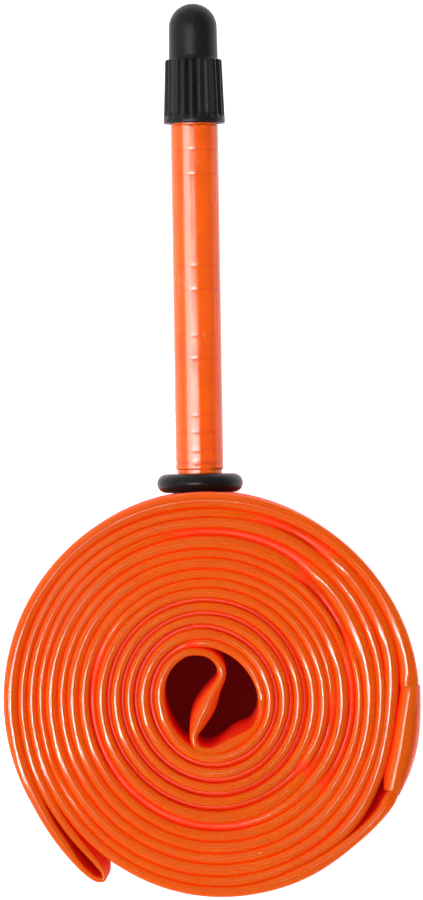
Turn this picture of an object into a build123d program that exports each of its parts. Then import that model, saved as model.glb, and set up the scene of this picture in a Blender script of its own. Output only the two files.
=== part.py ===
from build123d import *
import os
import math

# Bicycle inner tube with a presta-type valve, pressed flat, rolled up and laid
# on its side.  Roll axis is +Z, the valve points along +Y, the roll rests on
# z = 0.  Everything is first placed about the roll's own axis and moved at the
# end so that the origin is the bottom centre of the whole object.

# ---------------------------------------------------------------- dimensions
FLAT_WIDTH = 30.0          # width of the pressed-flat tube, the roll's height
MID_Z = FLAT_WIDTH / 2.0   # height of the valve's axis
CLOCK = 0.91               # degrees, how the roll is clocked against the valve
STEP = 15.0                # degrees between the stations of the roll's outline
FIRST = 150.0              # degrees, where the outline starts, beside the tail
STEM_X = -0.97             # the valve's axis, beside the roll's axis

# valve stem, all heights along +Y from the roll's axis
FLANGE_R_IN = 23.75        # root flange, a curved disc inside the tube
FLANGE_R_OUT = 24.35
FLANGE_DIA = 15.0
SEAT_Y = 24.55             # the film is pulled flat here, round the stem
SEAT_R = 7.6
BOSS_R = 3.6
BOSS_TOP = 25.17
NECK_R = 2.80              # where the ring sits
WALL_Y = 28.20             # start of the stem's straight wall
STEM_R = 3.00
STEM_WALL_END = 71.55      # the wall steps in here, under the cap
STEM_TIP_R = 2.80
STEM_END = 73.77
BORE_R = 1.60
SEAT_BORE_Y = 63.57
SEAT_BORE_R = 2.05
COUNTERBORE_Y = 66.47
COUNTERBORE_R = 2.44

# rubber ring at the foot of the stem
RING_Y = 26.41
RING_SECTION_R = 1.20
RING_INNER_R = 3.02

# threaded insert
INSERT_BORE_R = 2.20
INSERT_RIM_R = 2.70
INSERT_TOP = 74.17

# valve core
CORE_THREAD_R = 2.15
CORE_LOW = 67.07
BARREL_R = 1.40
BARREL_LOW = 61.57
CORE_FLATS_TOP = 75.97
CORE_FLATS_WIDTH = 3.9
CORE_FLATS_R = 2.42
CORE_R = 2.60
CORE_TOP = 78.97
CORE_BORE_R = 1.10
CORE_BORE_LOW_R = 0.80
GASKET_LOW = 64.17
GASKET_TOP = 65.97
GASKET_R = 2.00
GASKET_BORE_R = 1.42

# pin and nut
PIN_R = 1.00
PIN_LOW_R = 0.70
PIN_STEP = 68.60
PIN_LOW = 59.27
PIN_TOP = 85.57
PIN_HEAD_R = 1.00
SEAL_R = 1.35
CUP_LOW = 59.77
CUP_TOP = 60.57
NUT_LOW = 81.87
NUT_TOP = 84.47
NUT_R = 2.00
NUT_BORE_R = 1.05

# cap
CAP_LOW = 71.79
CAP_COLLAR_TOP = 72.60
CAP_LOW_R = 3.88
CAP_SKIRT_TOP = 79.88
CAP_SKIRT_TOP_R = 3.58
CAP_DOME_R = 3.03
CAP_DOME_LOW_R = 3.10
CAP_DOME_Y = 83.94
CAP_BORE_R = 3.15
CAP_STEP_Y = 75.57
CAP_THREAD_R = 2.65
CAP_THREAD_TOP = 79.17
CAP_CAVITY_R = 2.25
CAP_RIBS = 20
CAP_GROOVE_R = 0.33

# The roll.  The tube is one closed loop, pressed into two strands that are
# rolled together, 17 to 18 layers deep.  The strands lie against each other,
# so the roll is one closed body with its true outline, the loop's open fold at
# the tail, the slit behind the lap weld and the eye in its middle.
# Radius of the outermost turn, going inward from FIRST degrees.
OUTLINE = [
    25.87, 25.82, 25.82, 25.78, 25.74, 25.74, 25.74, 25.74, 25.66, 25.31, 25.33, 25.33,
    25.33, 25.50, 25.80, 26.17, 26.21, 25.50, 25.29, 24.88, 24.69, 24.36,
]
# Step from the outermost turn out to the fold of the tail: angle, radius.
TAIL_STEP = [(117.0, 23.84), (120.3, 23.74), (120.2, 24.90)]
# Radius of the eye, every STEP degrees from EYE_FIRST degrees.
EYE_FIRST = 120.0
EYE_RADII = [
    6.85, 6.52, 6.19, 6.21, 6.26, 6.51, 6.61, 6.55, 6.21, 6.45, 6.57, 6.13,
    5.73, 5.61, 5.54, 5.58, 5.71, 5.87,
]
# Slit behind the lap weld: angle, radius.
SLIT = [(28.0, 23.85), (28.4, 24.45), (31.5, 24.42), (35.5, 24.20), (39.5, 24.02), (35.0, 23.90), (31.5, 23.75)]

# Middle of the rolled eye, where strand A curls back, crosses the eye and
# becomes strand B: x, y and half thickness.
EYE = [
    (5.74, -2.89, 0.40),
    (5.11, -3.92, 0.40), (3.83, -5.01, 0.38), (2.48, -5.84, 0.36), (0.89, -6.38, 0.36),
    (-0.56, -6.43, 0.36), (-1.63, -5.92, 0.36), (-2.16, -4.95, 0.36), (-1.99, -3.68, 0.38),
    (-1.38, -2.45, 0.42), (-0.72, -1.19, 0.50), (-0.20, 0.19, 0.50), (0.51, 1.20, 0.45),
    (1.13, 2.27, 0.40), (1.24, 3.45, 0.38), (0.76, 4.52, 0.38), (-0.16, 5.25, 0.36),
    (-1.46, 5.68, 0.35),
]

# The outer end of the roll, where the loop folds back on itself: from strand
# A's side round the fold to strand B's side.
TAIL = [
    (-20.41, -15.15, 0.67), (-18.55, -17.97, 0.61), (-17.20, -19.85, 0.43),
    (-16.11, -21.07, 0.35), (-15.08, -21.93, 0.32), (-14.21, -22.29, 0.31),
    (-13.69, -22.15, 0.31), (-13.65, -21.59, 0.31), (-14.09, -20.80, 0.33),
    (-14.88, -19.81, 0.36), (-16.02, -18.48, 0.41), (-17.37, -16.83, 0.48),
    (-19.18, -14.24, 0.52),
]

# Lap weld on the outermost turn: angle, inner radius, outer radius.
SPLICE = [
    (-3.5, 23.50, 25.70), (2.0, 23.26, 25.93), (9.0, 23.16, 26.17),
    (15.0, 23.16, 26.27), (21.0, 23.36, 26.29), (27.5, 23.90, 26.17),
]
SPLICE_CUT = [(-3.5, 23.30), (3.0, 23.11), (9.0, 23.06), (15.0, 23.05), (21.0, 23.20), (27.5, 23.70)]


# ------------------------------------------------------------------- helpers
def polar(angle, radius):
    t = math.radians(angle + CLOCK)
    return (radius * math.cos(t), -radius * math.sin(t))


def chain(points):
    """Closed outline of three-point arcs through the points."""
    edges = []
    n = len(points)
    i = 0
    while i < n:
        p = points[i]
        q = points[(i + 1) % n]
        if i + 2 > n:
            edges.append(Line(p, q))
            break
        r = points[(i + 2) % n]
        cross = (q[0] - p[0]) * (r[1] - p[1]) - (q[1] - p[1]) * (r[0] - p[0])
        if abs(cross) < 1e-4:
            edges.append(Line(p, q))
            edges.append(Line(q, r))
        else:
            edges.append(ThreePointArc(p, q, r))
        i += 2
    return Wire(edges)


def turned(points):
    """Solid of revolution about the valve's axis from (radius, height) points."""
    face = make_face(Polyline(*[(r, y) for r, y in points], close=True))
    return Pos(STEM_X, 0, MID_Z) * revolve(face, Axis.Y)


def offset_points(points, before, after):
    """Left and right side points of a free run with its half thicknesses."""
    left, right = [], []
    run = [before] + [(x, y) for x, y, h in points] + [after]
    for i, (x, y, h) in enumerate(points):
        dx = run[i + 2][0] - run[i][0]
        dy = run[i + 2][1] - run[i][1]
        length = math.hypot(dx, dy)
        nx, ny = -dy / length, dx / length
        left.append((x + nx * h, y + ny * h))
        right.append((x - nx * h, y - ny * h))
    return left, right


# ----------------------------------------------------------------- tube body
outline = [polar(FIRST + STEP * i, r) for i, r in enumerate(OUTLINE)]
fold_left, fold_right = offset_points(TAIL, outline[0], outline[0])
fold_outside = fold_right[:8][::-1]
fold_inside = fold_left
rim = outline + [polar(a, r) for a, r in TAIL_STEP] + fold_outside
eye_hole = [polar(EYE_FIRST + STEP * i, r) for i, r in enumerate(EYE_RADII)]
eye_hole += [(x, y) for x, y, h in EYE[:7]]
slit = [polar(a, r) for a, r in SLIT]
puck = extrude(make_face(chain(rim)), amount=FLAT_WIDTH, dir=(0, 0, 1))
puck -= extrude(make_face(chain(eye_hole)), amount=FLAT_WIDTH, dir=(0, 0, 1))
puck -= extrude(make_face(Polyline(*slit, close=True)), amount=FLAT_WIDTH, dir=(0, 0, 1))
loop_hole = fold_inside[1:12]
puck -= extrude(make_face(chain(loop_hole)), amount=FLAT_WIDTH, dir=(0, 0, 1))
bridge_left, bridge_right = offset_points(EYE, polar(15.0, 6.4), polar(240.0, 6.56))
bridge_end = polar(243.0, 6.6)
bridge = chain(bridge_left + [bridge_end] + bridge_right[::-1])
tube_body = puck + extrude(make_face(bridge), amount=FLAT_WIDTH, dir=(0, 0, 1))

cutter = [polar(a, r) for a, r in SPLICE_CUT] + [polar(27.5, 29.0), polar(12.0, 29.0), polar(-3.5, 29.0)]
tube_body -= extrude(make_face(Polyline(*cutter, close=True)), amount=FLAT_WIDTH, dir=(0, 0, 1))

outer_arc = [polar(a, ro) for a, ri, ro in SPLICE]
inner_arc = [polar(a, ri) for a, ri, ro in SPLICE][::-1]
splice_face = make_face(Wire([
    Spline(*outer_arc),
    Line(outer_arc[-1], inner_arc[0]),
    Spline(*inner_arc),
    Line(inner_arc[-1], outer_arc[0]),
]))
splice_sleeve = extrude(splice_face, amount=FLAT_WIDTH, dir=(0, 0, 1))

# ---------------------------------------------------------------- valve stem
shell = Cylinder(FLANGE_R_OUT, FLAT_WIDTH, align=(Align.CENTER, Align.CENTER, Align.MIN))
shell -= Cylinder(FLANGE_R_IN, FLAT_WIDTH, align=(Align.CENTER, Align.CENTER, Align.MIN))
punch = turned([(0, 10), (FLANGE_DIA / 2, 10), (FLANGE_DIA / 2, 40), (0, 40)])
flange = shell & punch
boss = turned([(0, 24.0), (BOSS_R, 24.0), (BOSS_R, BOSS_TOP - 0.15), (BOSS_R - 0.15, BOSS_TOP), (0, BOSS_TOP)])
seat_cut = turned([(0, SEAT_Y), (SEAT_R, SEAT_Y), (SEAT_R, 40), (0, 40)])
tube_body -= seat_cut
tube_body -= flange
tube_body -= turned([(0, 24.0), (BOSS_R, 24.0), (BOSS_R, 30), (0, 30)])

shank = turned([
    (0, 24.0), (NECK_R, 24.0), (NECK_R, WALL_Y), (STEM_R, WALL_Y),
    (STEM_R, STEM_WALL_END), (STEM_TIP_R, STEM_WALL_END + 0.05),
    (STEM_TIP_R, STEM_END), (0, STEM_END),
])
stem_bore = turned([
    (0, 20.0), (BORE_R, 20.0), (BORE_R, SEAT_BORE_Y), (SEAT_BORE_R, SEAT_BORE_Y),
    (SEAT_BORE_R, COUNTERBORE_Y), (COUNTERBORE_R, COUNTERBORE_Y),
    (COUNTERBORE_R, STEM_END + 1), (0, STEM_END + 1),
])
valve_stem = (flange + boss + shank) - stem_bore

o_ring = Pos(STEM_X, RING_Y, MID_Z) * Rot(90, 0, 0) * Torus(RING_INNER_R + RING_SECTION_R, RING_SECTION_R)

stem_insert = turned([
    (INSERT_BORE_R, COUNTERBORE_Y), (COUNTERBORE_R, COUNTERBORE_Y),
    (COUNTERBORE_R, STEM_END), (INSERT_RIM_R, STEM_END),
    (INSERT_RIM_R, INSERT_TOP - 0.1), (INSERT_RIM_R - 0.1, INSERT_TOP),
    (INSERT_BORE_R, INSERT_TOP),
])

# ---------------------------------------------------------------- valve core
core_body = turned([
    (CORE_BORE_LOW_R, BARREL_LOW), (BARREL_R - 0.1, BARREL_LOW), (BARREL_R, BARREL_LOW + 0.3),
    (BARREL_R, 66.37), (CORE_THREAD_R - 0.3, CORE_LOW - 0.2), (CORE_THREAD_R, CORE_LOW + 0.3),
    (CORE_THREAD_R, INSERT_TOP), (CORE_FLATS_R, INSERT_TOP + 0.02), (CORE_FLATS_R, CORE_FLATS_TOP),
    (CORE_R, CORE_FLATS_TOP + 0.02), (CORE_R, CORE_TOP - 0.25),
    (CORE_R - 0.25, CORE_TOP), (CORE_BORE_R, CORE_TOP), (CORE_BORE_R, PIN_STEP - 1.9),
    (CORE_BORE_LOW_R, PIN_STEP - 2.4),
])
for side in (-1, 1):
    flat = Box(8, CORE_FLATS_TOP - INSERT_TOP, 4)
    core_body -= Pos(STEM_X, (INSERT_TOP + CORE_FLATS_TOP) / 2, MID_Z + side * (CORE_FLATS_WIDTH / 2 + 2)) * flat

core_gasket = turned([
    (GASKET_BORE_R, GASKET_LOW), (GASKET_R - 0.25, GASKET_LOW), (GASKET_R, GASKET_LOW + 0.4),
    (GASKET_R, GASKET_TOP - 0.2), (GASKET_R - 0.2, GASKET_TOP), (GASKET_BORE_R, GASKET_TOP),
])

# ---------------------------------------------------------------- pin and nut
core_pin = turned([
    (0, PIN_LOW), (PIN_HEAD_R, PIN_LOW), (PIN_HEAD_R, CUP_LOW), (PIN_LOW_R, CUP_LOW),
    (PIN_LOW_R, PIN_STEP - 0.3), (PIN_R, PIN_STEP), (PIN_R, PIN_TOP - 0.2),
    (PIN_R - 0.2, PIN_TOP), (0, PIN_TOP),
])
seal_cup = turned([
    (PIN_LOW_R, CUP_LOW), (1.2, CUP_LOW), (1.3, CUP_LOW + 0.1), (1.3, CUP_TOP), (PIN_LOW_R, CUP_TOP),
])
pin_seal = turned([
    (PIN_LOW_R, CUP_TOP), (SEAL_R, CUP_TOP), (SEAL_R, BARREL_LOW - 0.25),
    (SEAL_R - 0.2, BARREL_LOW - 0.03), (PIN_LOW_R, BARREL_LOW - 0.03),
])
lock_nut = turned([
    (NUT_BORE_R, NUT_LOW), (NUT_R - 0.3, NUT_LOW), (NUT_R, NUT_LOW + 0.3),
    (NUT_R, NUT_TOP - 0.4), (NUT_R - 0.5, NUT_TOP), (NUT_BORE_R, NUT_TOP),
])
groove = Box(0.16, NUT_TOP - NUT_LOW + 1, 0.3)
for i in range(18):
    a = 20.0 * i
    lock_nut -= (Pos(STEM_X, (NUT_LOW + NUT_TOP) / 2, MID_Z) * Rot(0, a, 0)
                 * Pos(0, 0, NUT_R) * groove)

# ----------------------------------------------------------------------- cap
cap_outer = Polyline(
    (0, CAP_LOW), (CAP_LOW_R - 0.1, CAP_LOW), (CAP_LOW_R, CAP_LOW + 0.1),
    (CAP_LOW_R - 0.03, CAP_COLLAR_TOP), (CAP_SKIRT_TOP_R, CAP_SKIRT_TOP - 0.25),
    (CAP_SKIRT_TOP_R - 0.25, CAP_SKIRT_TOP), (CAP_DOME_LOW_R, CAP_SKIRT_TOP),
    (CAP_DOME_R, CAP_DOME_Y),
)
dome_mid = (CAP_DOME_R * math.cos(math.radians(45)), CAP_DOME_Y + CAP_DOME_R * math.sin(math.radians(45)))
dome = ThreePointArc((CAP_DOME_R, CAP_DOME_Y), dome_mid, (0, CAP_DOME_Y + CAP_DOME_R))
cap_face = make_face(cap_outer.edges() + [dome] + [Line((0, CAP_DOME_Y + CAP_DOME_R), (0, CAP_LOW))])
cap_solid = Pos(STEM_X, 0, MID_Z) * revolve(cap_face, Axis.Y)
hollow_line = Polyline(
    (0, CAP_LOW - 1), (CAP_BORE_R, CAP_LOW - 1), (CAP_BORE_R, CAP_STEP_Y),
    (CAP_THREAD_R, CAP_STEP_Y), (CAP_THREAD_R, CAP_THREAD_TOP), (CAP_CAVITY_R, CAP_THREAD_TOP),
    (CAP_CAVITY_R, CAP_DOME_Y),
)
hollow_mid = (CAP_CAVITY_R * math.cos(math.radians(45)), CAP_DOME_Y + CAP_CAVITY_R * math.sin(math.radians(45)))
hollow_dome = ThreePointArc((CAP_CAVITY_R, CAP_DOME_Y), hollow_mid, (0, CAP_DOME_Y + CAP_CAVITY_R))
hollow_face = make_face(hollow_line.edges() + [hollow_dome] + [Line((0, CAP_DOME_Y + CAP_CAVITY_R), (0, CAP_LOW - 1))])
dust_cap = cap_solid - Pos(STEM_X, 0, MID_Z) * revolve(hollow_face, Axis.Y)
lean = math.degrees(math.atan2(CAP_LOW_R - CAP_SKIRT_TOP_R, CAP_SKIRT_TOP - CAP_LOW))
for i in range(CAP_RIBS):
    a = 360.0 / CAP_RIBS * i
    flute = Rot(90, 0, 0) * Cylinder(CAP_GROOVE_R, 9.0, align=(Align.CENTER, Align.CENTER, Align.MAX))
    dust_cap -= (Pos(STEM_X, 0, MID_Z) * Rot(0, a, 0) * Pos(CAP_LOW_R + 0.05, CAP_COLLAR_TOP + 0.05, 0)
                 * Rot(0, 0, lean) * flute)

# ------------------------------------------------------------------ write out
nodes = {
    "tube_body": tube_body,
    "splice_sleeve": splice_sleeve,
    "valve_stem": valve_stem,
    "stem_insert": stem_insert,
    "o_ring": o_ring,
    "core_body": core_body,
    "core_gasket": core_gasket,
    "core_pin": core_pin,
    "pin_seal": pin_seal,
    "seal_cup": seal_cup,
    "lock_nut": lock_nut,
    "dust_cap": dust_cap,
}
low = [1e9, 1e9, 1e9]
high = [-1e9, -1e9, -1e9]
for shape in nodes.values():
    b = shape.bounding_box()
    for i, (p, q) in enumerate(((b.min.X, b.max.X), (b.min.Y, b.max.Y), (b.min.Z, b.max.Z))):
        low[i] = min(low[i], p)
        high[i] = max(high[i], q)
shift = (-(low[0] + high[0]) / 2, -(low[1] + high[1]) / 2, -low[2])
print("size", [round(high[i] - low[i], 3) for i in range(3)], "shift", [round(v, 4) for v in shift])

os.makedirs("parts", exist_ok=True)
for name, shape in nodes.items():
    placed = Pos(*shift) * shape
    export_step(placed, "parts/" + name + ".step")
    print(name, len(placed.solids()), round(placed.volume, 3))
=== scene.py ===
import math
import bpy
import bmesh
import numpy as np
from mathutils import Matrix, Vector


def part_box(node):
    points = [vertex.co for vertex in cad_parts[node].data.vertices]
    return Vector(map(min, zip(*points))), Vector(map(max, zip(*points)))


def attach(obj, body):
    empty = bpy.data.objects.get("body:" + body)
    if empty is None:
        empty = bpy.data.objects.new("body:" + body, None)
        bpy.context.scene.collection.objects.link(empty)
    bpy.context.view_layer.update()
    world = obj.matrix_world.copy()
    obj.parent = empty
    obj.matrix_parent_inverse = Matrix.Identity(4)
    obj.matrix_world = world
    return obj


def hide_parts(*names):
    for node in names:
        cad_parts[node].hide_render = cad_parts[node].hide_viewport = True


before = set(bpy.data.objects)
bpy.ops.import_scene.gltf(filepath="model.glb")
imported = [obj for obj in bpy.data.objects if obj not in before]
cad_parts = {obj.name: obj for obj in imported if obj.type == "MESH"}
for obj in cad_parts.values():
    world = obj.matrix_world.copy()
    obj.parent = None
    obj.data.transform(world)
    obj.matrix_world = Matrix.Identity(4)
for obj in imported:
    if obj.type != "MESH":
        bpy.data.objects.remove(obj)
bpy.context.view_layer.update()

# ------------------------------------------------------------ the shared frame
# Everything of the roll is written in millimetres about the roll's own axis.
_lo, _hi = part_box("o_ring")
STEM_X = -0.97                                   # valve's axis beside the roll's axis
CX = (_lo.x + _hi.x) / 2 * 1000 - STEM_X         # roll axis in the row frame, mm
CY = (_lo.y + _hi.y) / 2 * 1000 - 26.41
CLOCK = 0.91
WIDTH = 28.5                                     # the flat width of the pressed tube
TOP = 30.0

# Strand A runs from the tail inwards, strand B lies inside it.  Each table goes
# round the roll in steps of 15 degrees, from 150 degrees, clockwise from above:
# outer and inner edge of the bead that shows, outer and inner side of the
# strand under it, and how far the strand has sunk between its neighbours.
BEAD_OUT_A = [
    25.87, 25.83, 25.81, 25.78, 25.76, 25.74, 25.74, 25.70, 25.58, 25.42, 25.34, 25.35, 25.44, 25.64, 25.80, 26.18, 26.21, 25.50, 25.28, 24.95, 24.63, 24.23, 23.78, 23.41,
    23.13, 22.97, 22.91, 22.93, 22.97, 22.96, 22.82, 22.62, 22.52, 22.57, 22.49, 22.16, 21.90, 21.72, 21.56, 21.61, 21.91, 22.21, 22.32, 22.24, 22.03, 21.75, 21.43, 21.12,
    20.89, 20.75, 20.69, 20.70, 20.72, 20.69, 20.55, 20.36, 20.21, 20.11, 19.83, 19.32, 18.90, 18.74, 18.75, 18.89, 19.12, 19.35, 19.45, 19.39, 19.20, 18.92, 18.61, 18.32,
    18.10, 17.99, 17.98, 18.02, 18.04, 17.99, 17.86, 17.67, 17.47, 17.30, 17.17, 17.08, 17.00, 16.96, 16.99, 17.04, 16.95, 16.75, 16.65, 16.57, 16.39, 16.13, 15.84, 15.58,
    15.41, 15.31, 15.26, 15.25, 15.24, 15.21, 15.13, 15.00, 14.83, 14.67, 14.56, 14.49, 14.46, 14.47, 14.55, 14.65, 14.59, 14.34, 14.15, 14.07, 13.96, 13.78, 13.60, 13.44,
    13.32, 13.25, 13.21, 13.20, 13.20, 13.17, 13.06, 12.86, 12.64, 12.40, 12.19, 12.03, 11.94, 11.92, 11.97, 12.06, 12.17, 12.27, 12.33, 12.32, 12.22, 12.08, 11.91, 11.71,
    11.56, 11.50, 11.49, 11.51, 11.52, 11.48, 11.37, 11.20, 10.98, 10.73, 10.51, 10.33, 10.24, 10.21, 10.23, 10.31, 10.41, 10.53, 10.62, 10.62, 10.52, 10.35, 10.18, 10.03,
    9.91, 9.84, 9.83, 9.85, 9.87, 9.86, 9.77, 9.59, 9.30, 8.95, 8.66, 8.48, 8.40, 8.40, 8.46, 8.56, 8.63, 8.69, 8.75, 8.75, 8.68, 8.57, 8.38, 8.16,
    7.99, 7.91, 7.91, 7.96, 8.00, 7.97, 7.82, 7.57, 7.28, 6.98, 6.74, 6.59, 6.52, 6.55, 6.66, 6.78,
]
BEAD_IN_A = [
    24.31, 24.10, 23.98, 23.95, 23.98, 23.96, 23.83, 23.62, 23.50, 23.55, 23.68, 23.74, 23.73, 23.69, 23.22, 23.13, 24.54, 24.12, 23.49, 23.49, 23.30, 22.92, 22.50, 22.11,
    21.84, 21.69, 21.63, 21.64, 21.67, 21.63, 21.49, 21.28, 21.13, 21.05, 20.99, 20.89, 20.76, 20.59, 20.45, 20.50, 20.70, 20.88, 20.91, 20.76, 20.51, 20.18, 19.83, 19.51,
    19.29, 19.15, 19.09, 19.09, 19.11, 19.07, 18.93, 18.71, 18.49, 18.30, 18.15, 18.00, 17.89, 17.85, 17.86, 17.90, 17.95, 18.00, 18.03, 17.98, 17.78, 17.47, 17.14, 16.84,
    16.64, 16.53, 16.48, 16.50, 16.52, 16.50, 16.40, 16.23, 16.04, 15.87, 15.72, 15.59, 15.49, 15.43, 15.46, 15.53, 15.55, 15.53, 15.58, 15.54, 15.34, 15.07, 14.81, 14.57,
    14.39, 14.28, 14.24, 14.27, 14.29, 14.24, 14.11, 13.93, 13.74, 13.56, 13.41, 13.30, 13.23, 13.21, 13.26, 13.34, 13.35, 13.27, 13.22, 13.18, 13.08, 12.95, 12.77, 12.59,
    12.46, 12.39, 12.35, 12.35, 12.36, 12.32, 12.20, 12.01, 11.78, 11.56, 11.36, 11.19, 11.08, 11.06, 11.11, 11.20, 11.32, 11.42, 11.48, 11.47, 11.36, 11.18, 11.00, 10.83,
    10.70, 10.64, 10.63, 10.65, 10.67, 10.64, 10.54, 10.37, 10.16, 9.91, 9.64, 9.45, 9.38, 9.36, 9.38, 9.45, 9.54, 9.63, 9.71, 9.72, 9.64, 9.50, 9.33, 9.15,
    9.00, 8.93, 8.92, 8.95, 8.98, 8.97, 8.89, 8.69, 8.35, 7.98, 7.73, 7.57, 7.49, 7.50, 7.59, 7.70, 7.77, 7.80, 7.84, 7.85, 7.82, 7.70, 7.48, 7.21,
    7.03, 6.96, 6.99, 7.08, 7.12, 7.07, 6.89, 6.58, 6.21, 5.87, 5.64, 5.51, 5.49, 5.58, 5.74, 5.95,
]
BODY_OUT_A = [
    25.87, 25.83, 25.81, 25.78, 25.76, 25.74, 25.74, 25.70, 25.58, 25.42, 25.34, 25.35, 25.44, 25.64, 25.80, 26.18, 26.21, 25.50, 25.28, 24.95, 24.63, 24.24, 23.79, 23.44,
    23.18, 23.01, 22.95, 22.95, 22.99, 22.98, 22.84, 22.63, 22.52, 22.54, 22.49, 22.25, 21.98, 21.74, 21.53, 21.51, 21.73, 21.98, 22.06, 21.96, 21.79, 21.57, 21.31, 21.03,
    20.81, 20.68, 20.63, 20.64, 20.69, 20.69, 20.58, 20.40, 20.22, 20.03, 19.70, 19.26, 18.92, 18.81, 18.83, 18.96, 19.16, 19.30, 19.32, 19.22, 19.04, 18.82, 18.56, 18.34,
    18.16, 18.06, 18.03, 18.05, 18.07, 18.02, 17.89, 17.70, 17.48, 17.27, 17.08, 16.92, 16.81, 16.78, 16.82, 16.88, 16.85, 16.76, 16.71, 16.62, 16.45, 16.22, 15.94, 15.68,
    15.49, 15.36, 15.32, 15.34, 15.37, 15.35, 15.26, 15.10, 14.88, 14.66, 14.47, 14.34, 14.26, 14.24, 14.31, 14.41, 14.39, 14.25, 14.13, 14.07, 13.96, 13.78, 13.60, 13.44,
    13.32, 13.25, 13.21, 13.20, 13.20, 13.17, 13.06, 12.86, 12.64, 12.40, 12.19, 12.03, 11.94, 11.92, 11.97, 12.06, 12.17, 12.27, 12.33, 12.32, 12.22, 12.08, 11.91, 11.71,
    11.56, 11.50, 11.49, 11.51, 11.52, 11.48, 11.37, 11.20, 10.98, 10.73, 10.51, 10.33, 10.24, 10.21, 10.23, 10.31, 10.41, 10.53, 10.62, 10.62, 10.52, 10.35, 10.18, 10.03,
    9.91, 9.84, 9.83, 9.85, 9.87, 9.86, 9.77, 9.59, 9.30, 8.95, 8.66, 8.48, 8.40, 8.40, 8.46, 8.56, 8.63, 8.69, 8.75, 8.75, 8.68, 8.57, 8.38, 8.16,
    7.99, 7.91, 7.91, 7.96, 8.00, 7.98, 7.89, 7.71, 7.44, 7.10, 6.82, 6.64, 6.56, 6.58, 6.68, 6.81,
]
BODY_IN_A = [
    24.41, 24.30, 24.23, 24.21, 24.20, 24.16, 24.06, 23.92, 23.80, 23.78, 23.77, 23.70, 23.61, 23.56, 23.22, 23.13, 24.54, 24.12, 23.72, 23.51, 23.25, 22.92, 22.56, 22.22,
    21.96, 21.81, 21.77, 21.78, 21.83, 21.83, 21.71, 21.50, 21.34, 21.27, 21.11, 20.76, 20.43, 20.25, 20.18, 20.25, 20.44, 20.61, 20.65, 20.56, 20.42, 20.24, 20.00, 19.74,
    19.53, 19.41, 19.36, 19.36, 19.37, 19.34, 19.23, 19.05, 18.86, 18.64, 18.37, 18.08, 17.89, 17.81, 17.82, 17.87, 17.92, 17.94, 17.91, 17.81, 17.64, 17.43, 17.20, 16.99,
    16.82, 16.72, 16.70, 16.72, 16.75, 16.74, 16.64, 16.47, 16.26, 16.03, 15.81, 15.63, 15.51, 15.48, 15.54, 15.65, 15.65, 15.51, 15.40, 15.30, 15.13, 14.92, 14.71, 14.51,
    14.35, 14.24, 14.21, 14.23, 14.26, 14.24, 14.14, 13.97, 13.73, 13.47, 13.25, 13.09, 13.01, 13.00, 13.05, 13.15, 13.20, 13.21, 13.21, 13.18, 13.08, 12.95, 12.77, 12.59,
    12.46, 12.39, 12.35, 12.35, 12.36, 12.32, 12.20, 12.01, 11.78, 11.56, 11.36, 11.19, 11.08, 11.06, 11.11, 11.20, 11.32, 11.42, 11.48, 11.47, 11.36, 11.18, 11.00, 10.83,
    10.70, 10.64, 10.63, 10.65, 10.67, 10.64, 10.54, 10.37, 10.16, 9.91, 9.64, 9.45, 9.38, 9.36, 9.38, 9.45, 9.54, 9.63, 9.71, 9.72, 9.64, 9.50, 9.33, 9.15,
    9.00, 8.93, 8.92, 8.95, 8.98, 8.97, 8.89, 8.69, 8.35, 7.98, 7.73, 7.57, 7.49, 7.50, 7.59, 7.70, 7.77, 7.80, 7.84, 7.85, 7.82, 7.70, 7.48, 7.21,
    7.03, 6.96, 6.99, 7.08, 7.12, 7.06, 6.86, 6.54, 6.19, 5.87, 5.64, 5.51, 5.49, 5.58, 5.74, 5.95,
]
SUNK_A = [
    0.0, 0.0, 0.0, 0.0, 0.0, 0.0, 0.0, 0.0, 0.0, 0.0, 0.0, 0.0, 0.0, 0.0, 0.0, 0.0, 0.0, 0.0, 0.0, 0.0, 0.0, 0.0, 0.0, 0.0,
    0.0, 0.0, 0.0, 0.0, 0.0, 0.0, 0.0, 0.0, 0.0, 0.0, 0.0, 0.2, 0.0, 0.0, 0.0, 0.0, 0.0, 0.0, 0.0, 0.0, 0.0, 0.0, 0.0, 0.0,
    0.0, 0.0, 0.0, 0.0, 0.0, 0.0, 0.0, 0.0, 0.0, 0.0, 0.0, 1.0, 1.0, 0.0, 0.0, 0.0, 0.0, 0.0, 0.0, 0.0, 0.0, 0.0, 0.0, 0.0,
    0.0, 0.0, 0.0, 0.0, 0.0, 0.0, 0.0, 0.0, 0.0, 0.0, 0.0, 0.0, 0.0, 0.0, 0.0, 0.0, 0.0, 0.0, 0.2, 0.4, 0.6, 0.5, 0.6, 0.5,
    0.8, 0.8, 0.9, 0.5, 0.3, 0.0, 0.0, 0.0, 0.0, 0.0, 0.0, 0.0, 0.0, 0.0, 0.0, 0.0, 0.0, 1.0, 1.0, 1.0, 1.0, 1.0, 1.0, 1.0,
    1.0, 1.0, 1.0, 1.0, 1.0, 1.0, 1.0, 1.0, 1.0, 1.0, 1.0, 1.0, 1.0, 1.0, 1.0, 1.0, 1.0, 1.0, 1.0, 1.0, 1.0, 1.0, 1.0, 1.0,
    1.0, 1.0, 1.0, 1.0, 1.0, 1.0, 1.0, 1.0, 1.0, 1.0, 1.0, 1.0, 1.0, 1.0, 1.0, 1.0, 1.0, 1.0, 1.0, 1.0, 1.0, 1.0, 1.0, 1.0,
    1.0, 1.0, 1.0, 1.0, 1.0, 1.0, 1.0, 1.0, 1.0, 1.0, 1.0, 1.0, 1.0, 1.0, 1.0, 1.0, 1.0, 1.0, 1.0, 1.0, 1.0, 1.0, 1.0, 1.0,
    1.0, 1.0, 1.0, 1.0, 1.0, 1.0, 0.9, 0.3, 0.0, 0.0, 0.0, 0.0, 0.0, 0.1, 0.0, 0.4,
]
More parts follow.
